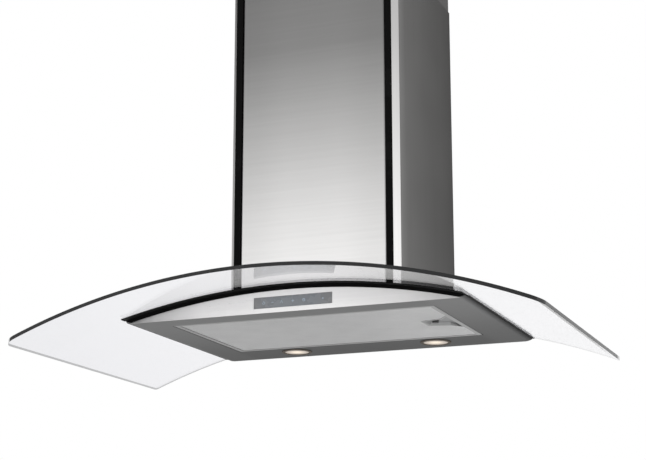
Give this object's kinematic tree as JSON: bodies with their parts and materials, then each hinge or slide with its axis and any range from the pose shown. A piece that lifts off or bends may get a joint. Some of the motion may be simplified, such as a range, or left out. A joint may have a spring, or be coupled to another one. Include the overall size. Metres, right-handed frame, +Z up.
{
  "type": "range hood",
  "caption": "Wall-hung range hood with a curved glass canopy, a bow-fronted steel body, grease filter, lamps and a telescoping flue cover.",
  "frame": {"origin": "on the wall plane, on the centre line, level with the flat underside of the canopy body", "axes": "+X to the right seen from the room, +Y into the wall, +Z up"},
  "size_m": [0.9, 0.544, 0.8254],
  "materials": {
    "curved_glass": "clear, polished edges",
    "gasket_rubber": "satin black rubber",
    "fixing_steel": "turned stainless steel",
    "canopy_steel": "satin steel, brushed side to side",
    "fascia_steel": "brushed steel, grain side to side",
    "flue_panel_steel": "brushed steel, grain across",
    "flue_side_steel": "brushed steel, grain across",
    "inner_steel": "dull galvanised sheet",
    "black_trim": "gloss black",
    "display_glass": "smoked touch window",
    "circuit_board": "green solder mask",
    "black_plastic": "black moulding",
    "grey_plastic": "light grey moulding",
    "filter_aluminium": "fine aluminium mesh in a folded frame",
    "motor_steel": "dark painted can",
    "lamp_ring": "spun satin ring",
    "lamp_glass": "frosted, lit warm white",
    "reflector_metal": "bright anodised",
    "lamp_ceramic": "white ceramic holder"
  },
  "bodies": {
    "hood": {"cable_gland": "grey_plastic", "canopy_back_panel": "inner_steel", "canopy_top_sheet": "inner_steel", "canopy_tray": "canopy_steel", "collar_screws": "fixing_steel", "control_board": "circuit_board", "control_board_housing": "black_plastic", "damper_pin": "fixing_steel", "display_window": "display_glass", "fascia_studs": "fixing_steel", "filter_catch_plate": "inner_steel", "flue_front_panel": "flue_panel_steel", "flue_lower_shell": "flue_side_steel", "flue_trim_left": "black_trim", "flue_trim_right": "black_trim", "front_fascia": "fascia_steel", "glass_canopy": "curved_glass", "glass_fixing_caps": "fixing_steel", "glass_front_gasket": "gasket_rubber", "glass_side_gasket_left": "gasket_rubber", "glass_side_gasket_right": "gasket_rubber", "glass_washers": "gasket_rubber", "lamp_bezel_left": "lamp_ring", "lamp_bezel_right": "lamp_ring", "lamp_bulb_left": "lamp_glass", "lamp_bulb_right": "lamp_glass", "lamp_lens_left": "lamp_glass", "lamp_lens_right": "lamp_glass", "lamp_reflector_left": "reflector_metal", "lamp_reflector_right": "reflector_metal", "lamp_socket_left": "lamp_ceramic", "lamp_socket_right": "lamp_ceramic", "lamp_transformer": "black_plastic", "motor_body": "motor_steel", "motor_box": "inner_steel", "motor_box_front": "inner_steel", "motor_box_screws": "fixing_steel", "motor_bracket": "inner_steel", "outlet_collar": "black_plastic", "run_capacitor": "grey_plastic", "scroll_band": "inner_steel", "scroll_side_left": "inner_steel", "scroll_side_right": "inner_steel", "terminal_box": "black_plastic"},
    "filter": {"filter_frame": "filter_aluminium", "filter_front_mesh": "filter_aluminium", "filter_mesh_core": "filter_aluminium", "filter_back_mesh": "filter_aluminium", "filter_handle_recess": "filter_aluminium", "filter_latch_spring": "fixing_steel"},
    "filter_latch": {"filter_latch_slider": "black_plastic"},
    "fan_wheel": {"impeller": "black_plastic", "motor_shaft": "fixing_steel"},
    "front_flap": {"damper_flap_front": "black_plastic"},
    "rear_flap": {"damper_flap_rear": "black_plastic"},
    "upper_flue": {"flue_upper_shell": "flue_side_steel", "flue_wall_bracket": "inner_steel", "bracket_screws": "fixing_steel"}
  },
  "joints": [
    {"name": "filter_hinge", "type": "hinge", "parent": "hood", "child": "filter", "pos_m": [-0.23, -0.225, 0.0002], "axis": [0, 1, 0], "range_deg": [0, 75]},
    {"name": "filter_latch_slide", "type": "slide", "parent": "filter", "child": "filter_latch", "axis": [1, 0, 0], "range_m": [-0.0055, 0], "stiffness_N_per_m": 300, "springref_m": 0.003, "deforming": ["filter_latch_spring"]},
    {"name": "fan_spin", "type": "hinge", "parent": "hood", "child": "fan_wheel", "pos_m": [0, -0.122, 0.14], "axis": [1, 0, 0], "continuous": true},
    {"name": "front_flap_hinge", "type": "hinge", "parent": "hood", "child": "front_flap", "pos_m": [0, -0.16, 0.317], "axis": [-1, 0, 0], "range_deg": [0, 75]},
    {"name": "rear_flap_hinge", "type": "hinge", "parent": "hood", "child": "rear_flap", "pos_m": [0, -0.16, 0.317], "axis": [1, 0, 0], "range_deg": [0, 75]},
    {"name": "flue_telescope", "type": "slide", "parent": "hood", "child": "upper_flue", "axis": [0, 0, 1], "range_m": [-0.1, 0.24]}
  ]
}
